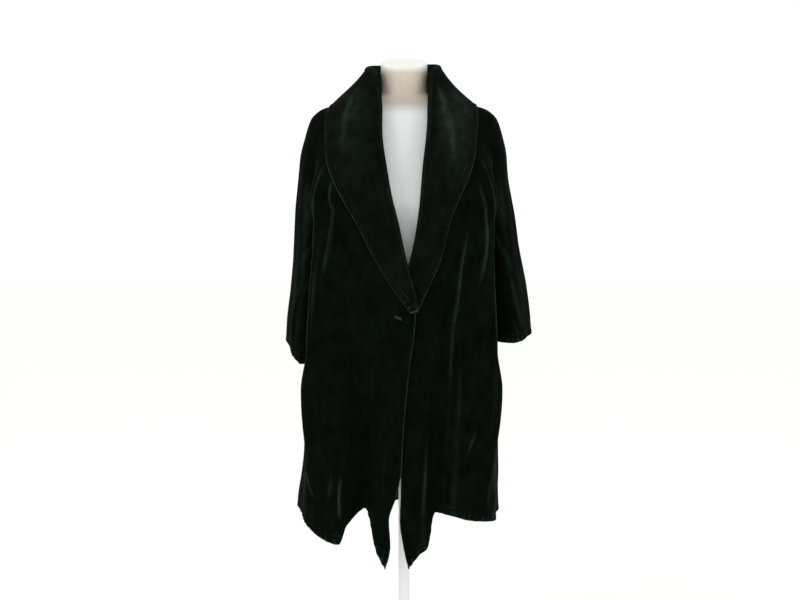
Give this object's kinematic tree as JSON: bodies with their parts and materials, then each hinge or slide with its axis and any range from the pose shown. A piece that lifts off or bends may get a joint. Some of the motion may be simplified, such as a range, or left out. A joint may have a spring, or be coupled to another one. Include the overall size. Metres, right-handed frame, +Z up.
{
  "type": "opera coat on a dress form",
  "caption": "Loose velvet opera coat with a wide shawl collar, raglan sleeves and one covered button, hanging open-hemmed on a limbless dress form on a round stand.",
  "frame": {"origin": "on the floor, at the middle of the stand base's underside, under the pole", "axes": "+Z up along the pole, -Y the way the coat's front faces, +X towards the wearer's left"},
  "size_m": [0.5572, 0.4446, 1.514],
  "materials": {
    "front_right": "black cotton velvet, short upright pile",
    "front_left": "black cotton velvet, short upright pile",
    "back": "black cotton velvet, short upright pile",
    "sleeve_right": "black cotton velvet, short upright pile",
    "sleeve_left": "black cotton velvet, short upright pile",
    "collar_right": "black cotton velvet, pile brushed towards the edge",
    "collar_left": "black cotton velvet, pile brushed towards the edge",
    "button": "black velvet drawn over a domed shank button",
    "dress_form": "satin white moulded shell",
    "stand_pole": "white enamelled steel tube",
    "stand_socket": "white enamelled steel",
    "stand_base": "white enamelled steel plate"
  },
  "bodies": {
    "root": {"front_right": "front_right", "front_left": "front_left", "back": "back", "sleeve_right": "sleeve_right", "sleeve_left": "sleeve_left", "collar_right": "collar_right", "collar_left": "collar_left", "button": "button", "dress_form": "dress_form", "stand_pole": "stand_pole", "stand_socket": "stand_socket", "stand_base": "stand_base"}
  },
  "joints": []
}
